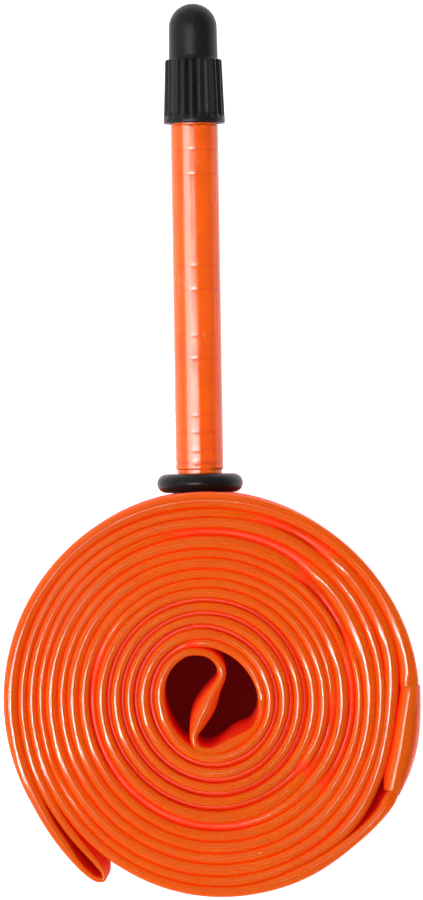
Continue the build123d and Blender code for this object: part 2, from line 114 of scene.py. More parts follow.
BEAD_OUT_B = [
    24.31, 24.10, 23.98, 23.95, 23.98, 23.96, 23.83, 23.63, 23.52, 23.59, 23.72, 23.75, 23.73, 23.69, 23.04, 22.97, 23.55, 23.96, 23.49, 23.49, 23.30, 22.92, 22.50, 22.11,
    21.84, 21.69, 21.63, 21.64, 21.67, 21.63, 21.50, 21.32, 21.20, 21.15, 21.08, 20.94, 20.78, 20.60, 20.45, 20.50, 20.70, 20.88, 20.91, 20.76, 20.51, 20.18, 19.83, 19.51,
    19.29, 19.15, 19.09, 19.09, 19.11, 19.07, 18.93, 18.71, 18.49, 18.30, 18.14, 17.98, 17.86, 17.80, 17.80, 17.87, 17.95, 18.01, 18.03, 17.98, 17.78, 17.47, 17.14, 16.84,
    16.64, 16.53, 16.48, 16.50, 16.52, 16.50, 16.40, 16.23, 16.04, 15.87, 15.72, 15.59, 15.48, 15.43, 15.49, 15.63, 15.64, 15.59, 15.66, 15.67, 15.50, 15.22, 14.90, 14.63,
    14.45, 14.35, 14.31, 14.31, 14.30, 14.24, 14.11, 13.93, 13.74, 13.56, 13.41, 13.30, 13.23, 13.21, 13.26, 13.35, 13.44, 13.48, 13.50, 13.49, 13.39, 13.18, 12.92, 12.71,
    12.58, 12.52, 12.47, 12.44, 12.43, 12.40, 12.27, 12.06, 11.86, 11.69, 11.53, 11.39, 11.30, 11.29, 11.35, 11.45, 11.57, 11.69, 11.77, 11.78, 11.67, 11.44, 11.18, 10.94,
    10.78, 10.74, 10.74, 10.75, 10.76, 10.73, 10.63, 10.46, 10.26, 10.04, 9.82, 9.66, 9.60, 9.59, 9.59, 9.64, 9.74, 9.85, 9.92, 9.95, 9.91, 9.77, 9.54, 9.32,
    9.17, 9.12, 9.13, 9.15, 9.17, 9.16, 9.09, 8.88, 8.49, 8.11, 7.86, 7.74, 7.68, 7.68, 7.76, 7.86, 7.92, 7.97, 8.01, 8.05, 8.05, 7.92, 7.64, 7.32,
    7.12, 7.07, 7.11, 7.18, 7.20, 7.12, 6.95,
]
BEAD_IN_B = [
    23.04, 22.95, 22.91, 22.93, 22.97, 22.96, 22.82, 22.62, 22.51, 22.53, 22.42, 22.10, 21.89, 21.83, 21.40, 21.42, 21.93, 22.36, 22.39, 22.24, 22.03, 21.75, 21.43, 21.12,
    20.89, 20.75, 20.69, 20.70, 20.72, 20.69, 20.57, 20.38, 20.23, 20.06, 19.69, 19.14, 18.78, 18.70, 18.75, 18.89, 19.12, 19.35, 19.45, 19.39, 19.20, 18.92, 18.61, 18.32,
    18.10, 17.99, 17.98, 18.02, 18.04, 17.99, 17.86, 17.67, 17.47, 17.30, 17.17, 17.07, 16.98, 16.90, 16.89, 16.90, 16.82, 16.71, 16.67, 16.61, 16.42, 16.13, 15.81, 15.54,
    15.35, 15.25, 15.22, 15.22, 15.23, 15.20, 15.13, 15.00, 14.83, 14.67, 14.56, 14.49, 14.45, 14.44, 14.44, 14.46, 14.37, 14.20, 14.11, 14.08, 13.98, 13.76, 13.50, 13.29,
    13.16, 13.11, 13.06, 13.02, 13.01, 12.99, 12.86, 12.64, 12.44, 12.27, 12.12, 11.98, 11.89, 11.88, 11.94, 12.03, 12.15, 12.27, 12.35, 12.37, 12.25, 12.02, 11.76, 11.53,
    11.37, 11.33, 11.33, 11.33, 11.34, 11.31, 11.20, 11.03, 10.83, 10.61, 10.40, 10.26, 10.21, 10.19, 10.20, 10.26, 10.36, 10.48, 10.62, 10.67, 10.57, 10.37, 10.13, 9.93,
    9.78, 9.72, 9.72, 9.73, 9.75, 9.74, 9.68, 9.50, 9.15, 8.74, 8.46, 8.32, 8.26, 8.26, 8.34, 8.44, 8.52, 8.63, 8.78, 8.82, 8.72, 8.54, 8.27, 8.02,
    7.88, 7.82, 7.81, 7.83, 7.86, 7.86, 7.76, 7.55, 7.27, 6.98, 6.74, 6.59, 6.53, 6.55, 6.68, 6.81, 6.89, 6.89, 6.89, 6.90, 6.85, 6.66, 6.34, 6.05,
    5.86, 5.78, 5.82, 5.96, 6.09, 6.10, 5.99,
]
BODY_OUT_B = [
    24.41, 24.30, 24.23, 24.21, 24.20, 24.16, 24.06, 23.92, 23.80, 23.78, 23.77, 23.70, 23.61, 23.56, 23.04, 22.97, 23.55, 23.96, 23.72, 23.51, 23.25, 22.92, 22.56, 22.22,
    21.96, 21.81, 21.77, 21.78, 21.83, 21.83, 21.71, 21.50, 21.34, 21.27, 21.11, 20.76, 20.43, 20.25, 20.18, 20.25, 20.44, 20.61, 20.65, 20.56, 20.42, 20.24, 20.00, 19.74,
    19.53, 19.41, 19.36, 19.36, 19.37, 19.34, 19.23, 19.05, 18.86, 18.64, 18.37, 18.08, 17.89, 17.81, 17.82, 17.87, 17.92, 17.94, 17.91, 17.81, 17.64, 17.43, 17.20, 16.99,
    16.82, 16.72, 16.70, 16.72, 16.75, 16.74, 16.64, 16.47, 16.26, 16.03, 15.81, 15.63, 15.51, 15.48, 15.54, 15.65, 15.65, 15.51, 15.40, 15.30, 15.13, 14.92, 14.71, 14.51,
    14.35, 14.24, 14.21, 14.23, 14.26, 14.24, 14.14, 13.97, 13.73, 13.47, 13.25, 13.09, 13.01, 13.00, 13.05, 13.15, 13.20, 13.21, 13.21, 13.18, 13.08, 12.95, 12.77, 12.59,
    12.46, 12.39, 12.35, 12.35, 12.36, 12.32, 12.20, 12.01, 11.78, 11.56, 11.36, 11.19, 11.08, 11.06, 11.11, 11.20, 11.32, 11.42, 11.48, 11.47, 11.36, 11.18, 11.00, 10.83,
    10.70, 10.64, 10.63, 10.65, 10.67, 10.64, 10.54, 10.37, 10.16, 9.91, 9.64, 9.45, 9.38, 9.36, 9.38, 9.45, 9.54, 9.63, 9.71, 9.72, 9.64, 9.50, 9.33, 9.15,
    9.00, 8.93, 8.92, 8.95, 8.98, 8.97, 8.89, 8.69, 8.35, 7.98, 7.73, 7.57, 7.49, 7.50, 7.59, 7.70, 7.77, 7.80, 7.84, 7.85, 7.82, 7.70, 7.48, 7.21,
    7.03, 6.96, 6.99, 7.08, 7.12, 7.08, 6.96,
]
BODY_IN_B = [
    23.10, 23.00, 22.95, 22.95, 22.99, 22.98, 22.84, 22.63, 22.52, 22.54, 22.49, 22.25, 21.99, 21.83, 21.41, 21.31, 21.76, 22.10, 22.14, 21.97, 21.79, 21.57, 21.31, 21.03,
    20.81, 20.68, 20.63, 20.64, 20.69, 20.69, 20.58, 20.40, 20.22, 20.03, 19.70, 19.26, 18.92, 18.81, 18.83, 18.96, 19.16, 19.30, 19.32, 19.22, 19.04, 18.82, 18.56, 18.34,
    18.16, 18.06, 18.03, 18.05, 18.07, 18.02, 17.89, 17.70, 17.48, 17.27, 17.08, 16.92, 16.81, 16.78, 16.82, 16.88, 16.85, 16.76, 16.71, 16.62, 16.45, 16.22, 15.94, 15.68,
    15.49, 15.36, 15.32, 15.34, 15.37, 15.35, 15.26, 15.10, 14.88, 14.66, 14.47, 14.34, 14.26, 14.24, 14.31, 14.41, 14.39, 14.25, 14.13, 14.07, 13.96, 13.78, 13.60, 13.44,
    13.32, 13.25, 13.21, 13.20, 13.20, 13.17, 13.06, 12.86, 12.64, 12.40, 12.19, 12.03, 11.94, 11.92, 11.97, 12.06, 12.17, 12.27, 12.33, 12.32, 12.22, 12.08, 11.91, 11.71,
    11.56, 11.50, 11.49, 11.51, 11.52, 11.48, 11.37, 11.20, 10.98, 10.73, 10.51, 10.33, 10.24, 10.21, 10.23, 10.31, 10.41, 10.53, 10.62, 10.62, 10.52, 10.35, 10.18, 10.03,
    9.91, 9.84, 9.83, 9.85, 9.87, 9.86, 9.77, 9.59, 9.30, 8.95, 8.66, 8.48, 8.40, 8.40, 8.46, 8.56, 8.63, 8.69, 8.75, 8.75, 8.68, 8.57, 8.38, 8.16,
    7.99, 7.91, 7.91, 7.96, 8.00, 7.98, 7.89, 7.71, 7.44, 7.10, 6.82, 6.64, 6.56, 6.58, 6.68, 6.79, 6.86, 6.84, 6.82, 6.85, 6.84, 6.66, 6.35, 6.05,
    5.86, 5.78, 5.82, 5.96, 6.09, 6.10, 5.99,
]
SUNK_B = [
    0.0, 0.0, 0.0, 0.0, 0.0, 0.0, 0.0, 0.0, 0.0, 0.4, 0.9, 0.0, 0.0, 0.0, 0.0, 0.0, 0.0, 0.0, 0.0, 0.0, 0.0, 0.0, 0.0, 0.0,
    0.2, 0.0, 0.2, 0.0, 0.0, 0.0, 0.1, 0.3, 0.7, 0.6, 0.6, 0.0, 0.0, 0.0, 0.0, 0.0, 0.0, 0.0, 0.0, 0.0, 0.0, 0.0, 0.0, 0.0,
    0.0, 0.0, 0.0, 0.0, 0.0, 0.0, 0.0, 0.0, 0.0, 0.0, 0.0, 0.0, 0.1, 0.4, 0.7, 1.0, 1.0, 0.0, 0.0, 0.0, 0.0, 0.0, 0.0, 0.0,
    0.0, 0.0, 0.0, 0.0, 0.0, 0.0, 0.0, 0.0, 0.0, 0.0, 0.0, 0.0, 0.0, 0.1, 0.3, 1.0, 1.0, 0.0, 0.0, 0.0, 0.0, 0.0, 0.0, 0.0,
    0.0, 0.0, 0.0, 0.0, 0.0, 0.0, 0.0, 0.0, 0.0, 0.0, 0.0, 0.0, 0.0, 0.0, 0.0, 0.0, 0.0, 0.0, 0.0, 0.0, 0.0, 0.0, 0.0, 0.0,
    0.0, 0.0, 0.0, 0.0, 0.0, 0.0, 0.0, 0.0, 0.0, 0.0, 0.0, 0.0, 0.0, 0.0, 0.0, 0.0, 0.0, 0.0, 0.0, 0.0, 0.0, 0.0, 0.0, 0.0,
    0.0, 0.0, 0.0, 0.0, 0.0, 0.0, 0.0, 0.0, 0.0, 0.0, 0.0, 0.0, 0.0, 0.0, 0.0, 0.0, 0.0, 0.0, 0.0, 0.0, 0.0, 0.0, 0.0, 0.0,
    0.0, 0.0, 0.0, 0.0, 0.0, 0.0, 0.0, 0.0, 0.0, 0.0, 0.0, 0.0, 0.0, 0.0, 0.0, 0.0, 0.0, 0.0, 0.0, 0.0, 0.0, 0.0, 0.0, 0.0,
    0.0, 0.0, 0.0, 0.0, 0.0, 0.0, 0.0,
]
EYE = [
    (5.21, -3.91, 0.43, 0.43),
    (3.66, -5.01, 0.68, 0.64),
    (2.11, -5.80, 0.78, 0.69),
    (0.55, -6.47, 0.52, 0.57),
    (-0.67, -6.59, 0.43, 0.42),
    (-1.60, -6.31, 0.41, 0.45),
    (-2.17, -5.63, 0.45, 0.43),
    (-2.32, -5.01, 0.43, 0.45),
    (-2.25, -4.40, 0.57, 0.52),
    (-1.91, -3.58, 0.89, 0.74),
    (-1.36, -2.37, 1.14, 1.06),
    (-0.86, -1.35, 1.19, 1.19),
    (-0.25, -0.02, 0.92, 1.11),
    (0.39, 1.21, 0.57, 0.84),
    (1.08, 2.22, 0.48, 0.57),
    (1.32, 3.14, 0.53, 0.52),
    (1.09, 4.07, 0.50, 0.50),
    (0.43, 4.97, 0.47, 0.48),
    (-0.53, 5.58, 0.46, 0.47),
    (-1.72, 5.77, 0.45, 0.47),
]
FOLD = [
    (-19.18, -14.24, 0.52, 0.52),
    (-17.37, -16.83, 0.48, 0.48),
    (-16.02, -18.48, 0.41, 0.41),
    (-14.88, -19.81, 0.36, 0.36),
    (-14.09, -20.80, 0.33, 0.33),
    (-13.65, -21.59, 0.31, 0.31),
    (-13.69, -22.15, 0.31, 0.31),
    (-14.21, -22.29, 0.31, 0.31),
    (-15.08, -21.93, 0.32, 0.32),
    (-16.11, -21.07, 0.35, 0.35),
    (-17.20, -19.85, 0.43, 0.43),
    (-18.55, -17.97, 0.61, 0.61),
    (-20.41, -15.15, 0.67, 0.67),
]
LAP = [
    (-3.5, 24.75, 23.53, 25.93),
    (3.5, 24.28, 23.07, 26.03),
    (11.6, 24.23, 22.95, 26.24),
    (18.0, 24.46, 23.07, 26.36),
    (23.4, 24.80, 23.39, 26.35),
    (27.5, 25.25, 24.18, 26.26),
]


def spline(xs, ys, xq):
    """Natural cubic spline through (xs, ys), read at xq."""
    xs = np.asarray(xs, float)
    ys = np.asarray(ys, float)
    n = len(xs)
    h = np.diff(xs)
    a = np.zeros((n, n))
    b = np.zeros(n)
    a[0, 0] = a[-1, -1] = 1
    for i in range(1, n - 1):
        a[i, i - 1] = h[i - 1]
        a[i, i] = 2 * (h[i - 1] + h[i])
        a[i, i + 1] = h[i]
        b[i] = 6 * ((ys[i + 1] - ys[i]) / h[i] - (ys[i] - ys[i - 1]) / h[i - 1])
    m = np.linalg.solve(a, b)
    k = np.clip(np.searchsorted(xs, xq, side="right") - 1, 0, n - 2)
    d = xq - xs[k]
    e = xs[k + 1] - xq
    hk = h[k]
    return (m[k] * e**3 + m[k + 1] * d**3) / (6 * hk) + (ys[k] / hk - m[k] * hk / 6) * e + (ys[k + 1] / hk - m[k + 1] * hk / 6) * d


def smooth(t):
    t = np.clip(t, 0, 1)
    return t * t * (3 - 2 * t)


def place(theta, r):
    """Roll-centred point of a station: clockwise angle in degrees, radius."""
    t = np.radians(np.asarray(theta) + CLOCK)
    return np.stack([r * np.cos(t), -r * np.sin(t)], -1)


# ---------------------------------------------------------------- materials
def nodes_of(name):
    m = bpy.data.materials.new(name)
    m.use_nodes = True
    nt = m.node_tree
    nt.nodes.clear()
    out = nt.nodes.new("ShaderNodeOutputMaterial")
    bsdf = nt.nodes.new("ShaderNodeBsdfPrincipled")
    nt.links.new(bsdf.outputs["BSDF"], out.inputs["Surface"])
    tex = nt.nodes.new("ShaderNodeTexCoord")
    return m, nt, bsdf, tex


def noise(nt, tex, scale, detail=4.0, rough=0.55, stretch=None):
    n = nt.nodes.new("ShaderNodeTexNoise")
    n.inputs["Scale"].default_value = scale
    n.inputs["Detail"].default_value = detail
    n.inputs["Roughness"].default_value = rough
    if stretch is None:
        nt.links.new(tex.outputs["Object"], n.inputs["Vector"])
    else:
        mp = nt.nodes.new("ShaderNodeMapping")
        mp.inputs["Scale"].default_value = stretch
        nt.links.new(tex.outputs["Object"], mp.inputs["Vector"])
        nt.links.new(mp.outputs["Vector"], n.inputs["Vector"])
    return n


def ramp(nt, source, stops, interpolation="LINEAR"):
    r = nt.nodes.new("ShaderNodeValToRGB")
    r.color_ramp.interpolation = interpolation
    while len(r.color_ramp.elements) < len(stops):
        r.color_ramp.elements.new(0.5)
    for e, (p, c) in zip(r.color_ramp.elements, stops):
        e.position = p
        e.color = (*c, 1.0) if len(c) == 3 else (c[0], c[0], c[0], 1.0)
    nt.links.new(source, r.inputs["Fac"])
    return r


def bump(nt, bsdf, sources, distance):
    """Chain of bumps from (height output, strength) pairs."""
    last = None
    for out, strength in sources:
        b = nt.nodes.new("ShaderNodeBump")
        b.inputs["Strength"].default_value = strength
        b.inputs["Distance"].default_value = distance
        nt.links.new(out, b.inputs["Height"])
        if last is not None:
            nt.links.new(last.outputs["Normal"], b.inputs["Normal"])
        last = b
    nt.links.new(last.outputs["Normal"], bsdf.inputs["Normal"])


def film_material(name, base, deep, rough_lo, rough_hi, sss):
    """Thermoplastic film: a slightly cloudy orange with a soft gloss, painted a darker red lower between the turns
    (painted shade), with a faint painted red glow.
    """
    m, nt, bsdf, tex = nodes_of(name)
    cloud = noise(nt, tex, 160.0, 5.0, 0.6)
    tint = ramp(nt, cloud.outputs["Fac"], [(0.30, deep), (0.72, base)])
    # painted shade: lower down between the turns and on the sunk strands the base colour is painted a darker red,
    # standing in for light that has been through the film and comes back redder
    sep = nt.nodes.new("ShaderNodeSeparateXYZ")
    nt.links.new(tex.outputs["Object"], sep.inputs["Vector"])
    span = nt.nodes.new("ShaderNodeMapRange")
    span.inputs["From Min"].default_value = 0.026
    span.inputs["From Max"].default_value = 0.030
    nt.links.new(sep.outputs["Z"], span.inputs["Value"])
    depth = ramp(nt, span.outputs["Result"], [(0.0, (1.0,)), (0.40, (0.90,)), (0.55, (0.42,)), (0.63, (0.38,)), (0.73, (0.75,)), (0.82, (0.75,)), (0.91, (0.0,))])
    painted_crevice_shade = nt.nodes.new("ShaderNodeMix")
    painted_crevice_shade.data_type = "RGBA"
    painted_crevice_shade.inputs["B"].default_value = (0.84, 0.062, 0.001, 1.0)
    nt.links.new(depth.outputs["Color"], painted_crevice_shade.inputs["Factor"])
    nt.links.new(tint.outputs["Color"], painted_crevice_shade.inputs["A"])
    nt.links.new(painted_crevice_shade.outputs["Result"], bsdf.inputs["Base Color"])
    # painted glow: a faint red emission just below the bead tops and further down the flanks, weaker on the
    # outermost turn, stands in for light shining through the film
    flat = nt.nodes.new("ShaderNodeCombineXYZ")
    nt.links.new(sep.outputs["X"], flat.inputs["X"])
    nt.links.new(sep.outputs["Y"], flat.inputs["Y"])
    far = nt.nodes.new("ShaderNodeVectorMath")
    far.operation = "DISTANCE"
    far.inputs[1].default_value = (CX / 1000, CY / 1000, 0.0)
    nt.links.new(flat.outputs["Vector"], far.inputs[0])
    rim = nt.nodes.new("ShaderNodeMapRange")
    rim.inputs["From Min"].default_value = 0.0232
    rim.inputs["From Max"].default_value = 0.0246
    nt.links.new(far.outputs["Value"], rim.inputs["Value"])
    painted_glow_mask = ramp(nt, rim.outputs["Result"], [(0.0, (1.0,)), (1.0, (0.25,))])
    glow = nt.nodes.new("ShaderNodeMapRange")
    glow.inputs["From Min"].default_value = 0.0
    glow.inputs["From Max"].default_value = 0.030
    nt.links.new(sep.outputs["Z"], glow.inputs["Value"])
    through = ramp(nt, glow.outputs["Result"], [
        (0.0, (0.02, 0.0, 0.0)), (0.60, (0.05, 0.001, 0.001)), (0.90, (0.15, 0.002, 0.002)), (0.940, (0.03, 0.001, 0.001)),
        (0.950, (0.03, 0.001, 0.001)), (0.966, (0.24, 0.003, 0.002)), (0.976, (0.24, 0.003, 0.002)), (0.986, (0.0, 0.0, 0.0))])
    painted_glow_colour = nt.nodes.new("ShaderNodeMix")
    painted_glow_colour.data_type = "RGBA"
    painted_glow_colour.inputs["A"].default_value = (0.0, 0.0, 0.0, 1.0)
    nt.links.new(painted_glow_mask.outputs["Color"], painted_glow_colour.inputs["Factor"])
    nt.links.new(through.outputs["Color"], painted_glow_colour.inputs["B"])
    nt.links.new(painted_glow_colour.outputs["Result"], bsdf.inputs["Emission Color"])
    bsdf.inputs["Emission Strength"].default_value = 1.0
    fine = noise(nt, tex, 900.0, 3.0, 0.6)
    gloss = ramp(nt, fine.outputs["Fac"], [(0.3, (rough_lo,)), (0.75, (rough_hi,))])
    matt = nt.nodes.new("ShaderNodeMix")
    matt.data_type = "RGBA"
    matt.inputs["B"].default_value = (0.62, 0.62, 0.62, 1.0)
    nt.links.new(depth.outputs["Color"], matt.inputs["Factor"])
    nt.links.new(gloss.outputs["Color"], matt.inputs["A"])
    nt.links.new(matt.outputs["Result"], bsdf.inputs["Roughness"])
    flow = noise(nt, tex, 420.0, 3.0, 0.5, (1.0, 1.0, 0.12))
    grain = noise(nt, tex, 5200.0, 2.0, 0.5)
    bump(nt, bsdf, [(flow.outputs["Fac"], 0.04), (grain.outputs["Fac"], 0.02)], 0.00004)
    bsdf.inputs["IOR"].default_value = 1.45
    bsdf.inputs["Specular IOR Level"].default_value = 0.26
    bsdf.inputs["Subsurface Weight"].default_value = sss
    bsdf.inputs["Subsurface Radius"].default_value = (1.0, 0.10, 0.03)
    bsdf.inputs["Subsurface Scale"].default_value = 0.0016
    return m


def stem_material():
    """Moulded orange plastic with faint rings, fine draw lines and scuffs."""
    m, nt, bsdf, tex = nodes_of("stem_orange")
    sep = nt.nodes.new("ShaderNodeSeparateXYZ")
    nt.links.new(tex.outputs["Object"], sep.inputs["Vector"])
    span = nt.nodes.new("ShaderNodeMapRange")
    span.inputs["From Min"].default_value = (26.0 + CY) / 1000
    span.inputs["From Max"].default_value = (72.0 + CY) / 1000
    nt.links.new(sep.outputs["Y"], span.inputs["Value"])
    stops = []
    for y, half, depth in STEM_RINGS:
        p, w = (y - 26.0) / 46.0, half / 46.0
        stops += [(p - w, (0.0,)), (p, (depth,)), (p + w, (0.0,))]
    rings = ramp(nt, span.outputs["Result"], stops)
    cloud = noise(nt, tex, 260.0, 5.0, 0.6)
    tint = ramp(nt, cloud.outputs["Fac"], [(0.3, (0.90, 0.098, 0.001)), (0.7, (0.95, 0.124, 0.001))])
    scuff = noise(nt, tex, 700.0, 6.0, 0.7, (1.0, 0.25, 1.0))
    marks = ramp(nt, scuff.outputs["Fac"], [(0.60, (0.0,)), (0.74, (0.55,))])
    mix = nt.nodes.new("ShaderNodeMix")
    mix.data_type = "RGBA"
    mix.inputs["B"].default_value = (0.72, 0.030, 0.008, 1.0)
    nt.links.new(rings.outputs["Color"], mix.inputs["Factor"])
    nt.links.new(tint.outputs["Color"], mix.inputs["A"])
    mix2 = nt.nodes.new("ShaderNodeMix")
    mix2.data_type = "RGBA"
    mix2.inputs["B"].default_value = (0.93, 0.20, 0.03, 1.0)
    nt.links.new(marks.outputs["Color"], mix2.inputs["Factor"])
    nt.links.new(mix.outputs["Result"], mix2.inputs["A"])
    nt.links.new(mix2.outputs["Result"], bsdf.inputs["Base Color"])
    gloss = ramp(nt, scuff.outputs["Fac"], [(0.35, (0.17,)), (0.75, (0.30,))])
    nt.links.new(gloss.outputs["Color"], bsdf.inputs["Roughness"])
    lines = noise(nt, tex, 1500.0, 4.0, 0.6, (1.0, 0.06, 1.0))
    bump(nt, bsdf, [(lines.outputs["Fac"], 0.16), (scuff.outputs["Fac"], 0.12)], 0.00006)
    bsdf.inputs["IOR"].default_value = 1.5
    bsdf.inputs["Specular IOR Level"].default_value = 0.36
    bsdf.inputs["Subsurface Weight"].default_value = 0.15
    bsdf.inputs["Subsurface Radius"].default_value = (1.0, 0.22, 0.05)
    bsdf.inputs["Subsurface Scale"].default_value = 0.0005
    return m


def dark_material(name, lo, hi, rough_lo, rough_hi, scale, strength):
    m, nt, bsdf, tex = nodes_of(name)
    cloud = noise(nt, tex, scale, 5.0, 0.6)
    tint = ramp(nt, cloud.outputs["Fac"], [(0.3, lo), (0.75, hi)])
    nt.links.new(tint.outputs["Color"], bsdf.inputs["Base Color"])
    fine = noise(nt, tex, scale * 5, 3.0, 0.6)
    gloss = ramp(nt, fine.outputs["Fac"], [(0.3, (rough_lo,)), (0.75, (rough_hi,))])
    nt.links.new(gloss.outputs["Color"], bsdf.inputs["Roughness"])
    bump(nt, bsdf, [(fine.outputs["Fac"], strength), (cloud.outputs["Fac"], strength)], 0.00006)
    bsdf.inputs["IOR"].default_value = 1.5
    bsdf.inputs["Specular IOR Level"].default_value = 0.17
    return m


def metal_material(name, lo, hi, rough_lo, rough_hi):
    m, nt, bsdf, tex = nodes_of(name)
    cloud = noise(nt, tex, 900.0, 4.0, 0.6)
    tint = ramp(nt, cloud.outputs["Fac"], [(0.3, lo), (0.7, hi)])
    nt.links.new(tint.outputs["Color"], bsdf.inputs["Base Color"])
    turned = noise(nt, tex, 2500.0, 3.0, 0.6, (0.15, 1.0, 0.15))
    gloss = ramp(nt, turned.outputs["Fac"], [(0.3, (rough_lo,)), (0.7, (rough_hi,))])
    nt.links.new(gloss.outputs["Color"], bsdf.inputs["Roughness"])
    bump(nt, bsdf, [(turned.outputs["Fac"], 0.12)], 0.00004)
    bsdf.inputs["Metallic"].default_value = 1.0
    return m


# height on the valve, half width of the line, depth of its colour
STEM_RINGS = [
    (28.96, 0.22, 0.80), (30.53, 0.16, 0.40), (32.80, 0.16, 0.45), (34.88, 0.14, 0.35), (42.09, 0.14, 0.50),
    (44.99, 0.14, 0.50), (50.78, 0.14, 0.50), (53.78, 0.14, 0.50), (65.30, 0.14, 0.50), (68.40, 0.14, 0.45),
]

ORANGE = film_material("tube_orange", (0.94, 0.142, 0.0006), (0.91, 0.118, 0.0006), 0.09, 0.13, 0.60)
WELD = film_material("weld_orange", (0.97, 0.140, 0.0006), (0.95, 0.120, 0.0006), 0.16, 0.22, 0.05)
STEM = stem_material()
RING = dark_material("ring_black", (0.006, 0.006, 0.007), (0.014, 0.014, 0.016), 0.26, 0.38, 900.0, 0.08)
CAP = dark_material("cap_black", (0.006, 0.006, 0.008), (0.015, 0.016, 0.020), 0.32, 0.44, 1400.0, 0.12)
RUBBER = dark_material("seal_rubber", (0.015, 0.015, 0.016), (0.035, 0.034, 0.033), 0.45, 0.6, 1200.0, 0.12)
BRASS = metal_material("core_brass", (0.72, 0.47, 0.19), (0.86, 0.60, 0.28), 0.22, 0.36)
NICKEL = metal_material("nut_nickel", (0.60, 0.58, 0.54), (0.74, 0.72, 0.68), 0.20, 0.32)


# -------------------------------------------------------------------- meshes
def make(name, points_mm, faces, material, body, slot, *replaced):
    """Mesh object from roll-centred millimetres."""
    me = bpy.data.meshes.new(name)
    co = np.asarray(points_mm, float)
    co = (co + np.array([CX, CY, 0.0])) / 1000.0
    me.from_pydata(co.tolist(), [], faces)
    bm = bmesh.new()
    bm.from_mesh(me)
    bmesh.ops.remove_doubles(bm, verts=bm.verts, dist=1e-7)
    bmesh.ops.dissolve_degenerate(bm, edges=bm.edges, dist=1e-8)
    bmesh.ops.recalc_face_normals(bm, faces=bm.faces)
    bm.to_mesh(me)
    bm.free()
    me.shade_smooth()
    me.materials.append(material)
    ob = bpy.data.objects.new(name, me)
    bpy.context.scene.collection.objects.link(ob)
    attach(ob, body)
    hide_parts(*replaced)
    return ob


def grid_faces(n, m, close_n, close_m):
    faces = []
    for i in range(n if close_n else n - 1):
        a, b = i * m, ((i + 1) % n) * m
        for j in range(m if close_m else m - 1):
            k = (j + 1) % m
            faces.append((a + j, a + k, b + k, b + j))
    return faces


def sharpen(ob, degrees):
    """Sharp edges over an angle, so flat and turned faces stay crisp."""
    me = ob.data
    bm = bmesh.new()
    bm.from_mesh(me)
    for e in bm.edges:
        if len(e.link_faces) == 2 and e.calc_face_angle(0) > math.radians(degrees):
            e.smooth = False
    bm.to_mesh(me)
    bm.free()


def turned(name, profile, count, material, body, slot, *replaced, mod=None, sharp=35):
    """Closed profile of (radius, height) points turned about the valve's axis."""
    p = np.array(profile, float)
    ang = np.arange(count) * 2 * math.pi / count
    r = np.repeat(p[None, :, 0], count, 0)
    y = np.repeat(p[None, :, 1], count, 0)
    a = np.repeat(ang[:, None], len(p), 1)
    if mod is not None:
        r, y = mod(r, y, a)
    pts = np.stack([STEM_X + r * np.cos(a), y, 15.0 + r * np.sin(a)], -1).reshape(-1, 3)
    ob = make(name, pts, grid_faces(count, len(p), True, True), material, body, slot, *replaced)
    sharpen(ob, sharp)
    return ob


def dense(points, step):
    """Points of a profile with every run cut into steps."""
    out = []
    for i, p in enumerate(points):
        q = points[(i + 1) % len(points)]
        n = max(1, int(round(math.hypot(q[0] - p[0], q[1] - p[1]) / step)))
        out += [(p[0] + (q[0] - p[0]) * k / n, p[1] + (q[1] - p[1]) * k / n) for k in range(n)]
    return out


# ------------------------------------------------------- the rolled lay-flat tube
def strand_stations(tables, last):
    """Stations every 2.5 degrees: centre of the bead, half widths, body, sunk."""
    out_t, in_t, bo_t, bi_t, sunk_t = tables
    knots = 150.0 + 15.0 * np.arange(len(out_t))
    phi = np.arange(150.0, last + 0.01, 2.5)
    ro = spline(knots, out_t, phi)
    ri = spline(knots, in_t, phi)
    bo = spline(knots, bo_t, phi)
    bi = spline(knots, bi_t, phi)
    sunk = np.interp(phi, knots, sunk_t)
    k = np.ones(5) / 5
    sunk = np.convolve(np.pad(sunk, 2, mode="edge"), k, "valid")
    gap = 0.008
    ro, bo = ro - gap, bo - gap
    ri, bi = ri + gap, bi + gap
    crest = (ro + ri) / 2
    return phi, crest, ro, ri, bo, bi, sunk


def cord_points(points, before, after, step):
    """Smooth run of (x, y, left, right) rows through points between two ends."""
    rows = np.array(before + points + after, float)
    d = np.concatenate([[0], np.cumsum(np.hypot(*np.diff(rows[:, :2], axis=0).T))])
    lo, hi = d[len(before) - 1], d[len(before) + len(points)]
    q = np.linspace(lo, hi, max(3, int((hi - lo) / step)))[1:-1]
    return np.stack([spline(d, rows[:, i], q) for i in range(rows.shape[1])], -1)




